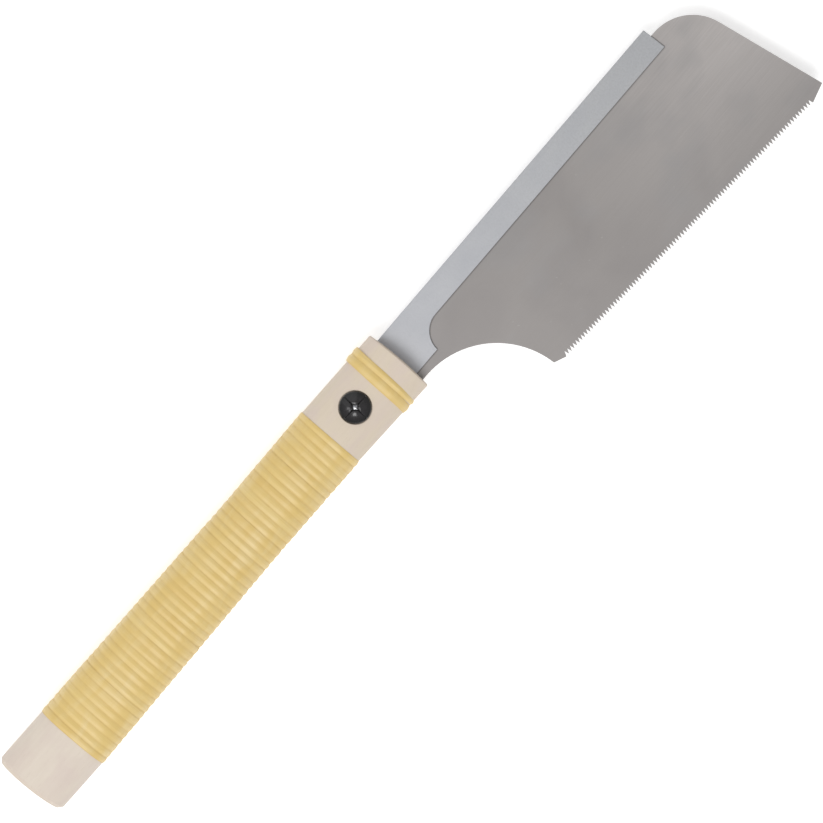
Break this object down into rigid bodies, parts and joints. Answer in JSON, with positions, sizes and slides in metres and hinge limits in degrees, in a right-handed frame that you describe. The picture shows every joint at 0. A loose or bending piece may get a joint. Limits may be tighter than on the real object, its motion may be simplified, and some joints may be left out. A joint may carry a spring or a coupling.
{
  "type": "hand saw",
  "caption": "Pull saw with a thin, fine-toothed blade crimped in a folded steel back, held in the kerf of a cane-wound oval wooden handle by a round clamp knob.",
  "frame": {"origin": "under the middle of the saw's box, on the surface that it lies on", "axes": "+X along the handle towards the blade's nose, +Y towards the blade's folded back, +Z out of the blade's face, on the clamp knob's side"},
  "size_m": [0.41, 0.0742, 0.0258],
  "materials": {
    "handle_wood": "matte",
    "cane": "satin",
    "blade_steel": "satin",
    "silver_paint": "satin",
    "black_plastic": "gloss",
    "plated_steel": "satin"
  },
  "bodies": {
    "handle_unit": {"handle": "handle_wood", "grip_wrap": "cane", "front_band": "cane", "claw_nut": "plated_steel"},
    "blade_unit": {"blade": "blade_steel", "blade_spine": "silver_paint"},
    "washer_unit": {"clamp_washer": "plated_steel"},
    "knob_unit": {"clamp_knob": "black_plastic", "clamp_screw": "plated_steel"}
  },
  "joints": [
    {"name": "blade_slide", "type": "slide", "parent": "handle_unit", "child": "blade_unit", "axis": [1, 0, 0], "range_m": [0, 0.045]},
    {"name": "clamp_lift", "type": "slide", "parent": "handle_unit", "child": "washer_unit", "axis": [0, 0, 1], "range_m": [0, 0.0024]},
    {"name": "clamp_turn", "type": "hinge", "parent": "washer_unit", "child": "knob_unit", "pos_m": [-0.00953, 0.02095, 0.01175], "axis": [0, 0, 1], "range_deg": [0, 1080]}
  ],
  "couplings": [
    {"joint": "clamp_turn", "follows": "clamp_lift", "rad_per_m": 7854}
  ]
}
